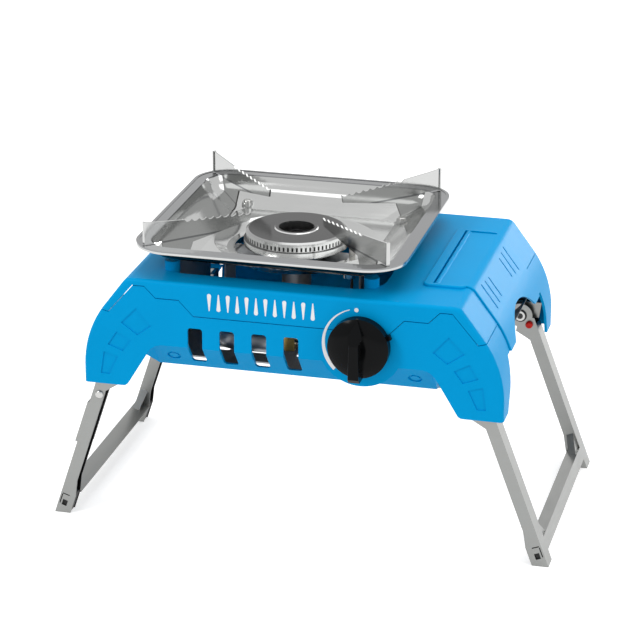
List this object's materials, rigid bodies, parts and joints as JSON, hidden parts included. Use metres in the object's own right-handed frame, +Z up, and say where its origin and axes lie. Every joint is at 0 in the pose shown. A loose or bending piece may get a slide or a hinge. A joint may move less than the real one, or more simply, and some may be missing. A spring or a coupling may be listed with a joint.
{
  "type": "portable gas stove",
  "caption": "Portable gas cooking stove with an arched blue housing, drip pan with toothed pot supports, round burner, hinged cartridge lid, rotary knob and folding steel legs.",
  "frame": {"origin": "on the ground under the middle of the whole stove", "axes": "+Z up, +X to the right as seen from the knob side, +Y to the back; the knob faces -Y"},
  "size_m": [0.4776, 0.2888, 0.2976],
  "materials": {
    "shell_blue": "glossy sky-blue paint",
    "leg_steel": "satin steel sheet",
    "pan_steel": "bright stainless sheet",
    "burner_steel": "bright pressed stainless",
    "inner_sheet": "dull galvanised sheet",
    "screw_steel": "bright plated steel",
    "cast_metal": "raw die casting",
    "magnet": "dark sintered ring",
    "seal_rubber": "soft black rubber",
    "lead_rubber": "black rubber insulation",
    "brass": "turned brass",
    "ceramic": null,
    "black_plastic": "black moulded plastic",
    "knob_black": "polished black plastic",
    "button_red": "red moulded plastic"
  },
  "bodies": {
    "housing": {"top_shell": "shell_blue", "front_panel": "shell_blue", "rear_panel": "shell_blue", "base_plate": "inner_sheet", "chin_screws": "shell_blue", "heat_shield": "inner_sheet", "side_shield": "inner_sheet", "cartridge_cradle": "inner_sheet", "regulator_body": "cast_metal", "magnet_ring": "magnet", "inlet_seal": "seal_rubber", "gas_tube": "screw_steel", "union_nut": "brass", "gas_jet": "brass", "mixing_tube": "cast_metal", "burner_body": "burner_steel", "burner_cap": "burner_steel", "burner_stand": "inner_sheet", "spark_ceramic": "ceramic", "spark_wire": "screw_steel", "piezo_igniter": "black_plastic", "ignition_lead": "lead_rubber", "right_front_bracket": "leg_steel", "right_rear_bracket": "leg_steel", "left_front_bracket": "leg_steel", "left_rear_bracket": "leg_steel", "bracket_screws": "screw_steel", "hinge_pins": "screw_steel"},
    "right_leg_frame": {"right_front_leg": "leg_steel", "right_rear_leg": "leg_steel", "right_foot_bar": "leg_steel", "right_gussets": "leg_steel", "right_front_spring": "screw_steel", "right_rear_spring": "screw_steel"},
    "left_sleeves": {"left_front_sleeve": "leg_steel", "left_rear_sleeve": "leg_steel", "guide_rivets": "screw_steel", "left_front_spring": "screw_steel", "left_rear_spring": "screw_steel"},
    "left_leg_frame": {"left_front_leg": "leg_steel", "left_rear_leg": "leg_steel", "left_foot_bar": "leg_steel", "left_gussets": "leg_steel"},
    "lid": {"cartridge_lid": "shell_blue", "lid_hinge_pins": "screw_steel"},
    "knob_body": {"knob": "knob_black", "valve_stem": "screw_steel"},
    "pan": {"drip_pan": "pan_steel", "pan_screws": "screw_steel", "rear_right_pot_support": "pan_steel", "rear_left_pot_support": "pan_steel", "front_left_pot_support": "pan_steel", "front_right_pot_support": "pan_steel"},
    "right_front_button_body": {"right_front_button": "button_red"},
    "right_rear_button_body": {"right_rear_button": "button_red"},
    "left_front_button_body": {"left_front_button": "button_red"},
    "left_rear_button_body": {"left_rear_button": "button_red"}
  },
  "joints": [
    {"name": "right_leg_fold", "type": "hinge", "parent": "housing", "child": "right_leg_frame", "pos_m": [0.16672, 0.0144, 0.1558], "axis": [0, 1, 0], "range_deg": [0, 110]},
    {"name": "left_leg_fold", "type": "hinge", "parent": "housing", "child": "left_sleeves", "pos_m": [-0.17488, 0.0144, 0.1558], "axis": [0, -1, 0], "range_deg": [0, 107]},
    {"name": "left_leg_slide", "type": "slide", "parent": "left_sleeves", "child": "left_leg_frame", "axis": [0.3107, 0, 0.9505], "range_m": [0, 0.012]},
    {"name": "lid_open", "type": "hinge", "parent": "housing", "child": "lid", "pos_m": [0.11972, 0.0144, 0.2467], "axis": [0, -1, 0], "range_deg": [0, 100]},
    {"name": "knob_turn", "type": "hinge", "parent": "housing", "child": "knob_body", "pos_m": [0.06142, -0.1156, 0.2034], "axis": [0, -1, 0], "range_deg": [0, 135]},
    {"name": "pan_lift", "type": "slide", "parent": "housing", "child": "pan", "axis": [0, 0, 1], "range_m": [0, 0.06]},
    {"name": "right_front_button_press", "type": "slide", "parent": "right_leg_frame", "child": "right_front_button_body", "axis": [0, -1, 0], "range_m": [0, 0.003], "stiffness_N_per_m": 300, "springref_m": -0.004, "deforming": ["right_front_spring"]},
    {"name": "right_rear_button_press", "type": "slide", "parent": "right_leg_frame", "child": "right_rear_button_body", "axis": [0, 1, 0], "range_m": [0, 0.003], "stiffness_N_per_m": 300, "springref_m": -0.004, "deforming": ["right_rear_spring"]},
    {"name": "left_front_button_press", "type": "slide", "parent": "left_sleeves", "child": "left_front_button_body", "axis": [0, -1, 0], "range_m": [0, 0.003], "stiffness_N_per_m": 300, "springref_m": -0.004, "deforming": ["left_front_spring"]},
    {"name": "left_rear_button_press", "type": "slide", "parent": "left_sleeves", "child": "left_rear_button_body", "axis": [0, 1, 0], "range_m": [0, 0.003], "stiffness_N_per_m": 300, "springref_m": -0.004, "deforming": ["left_rear_spring"]}
  ]
}
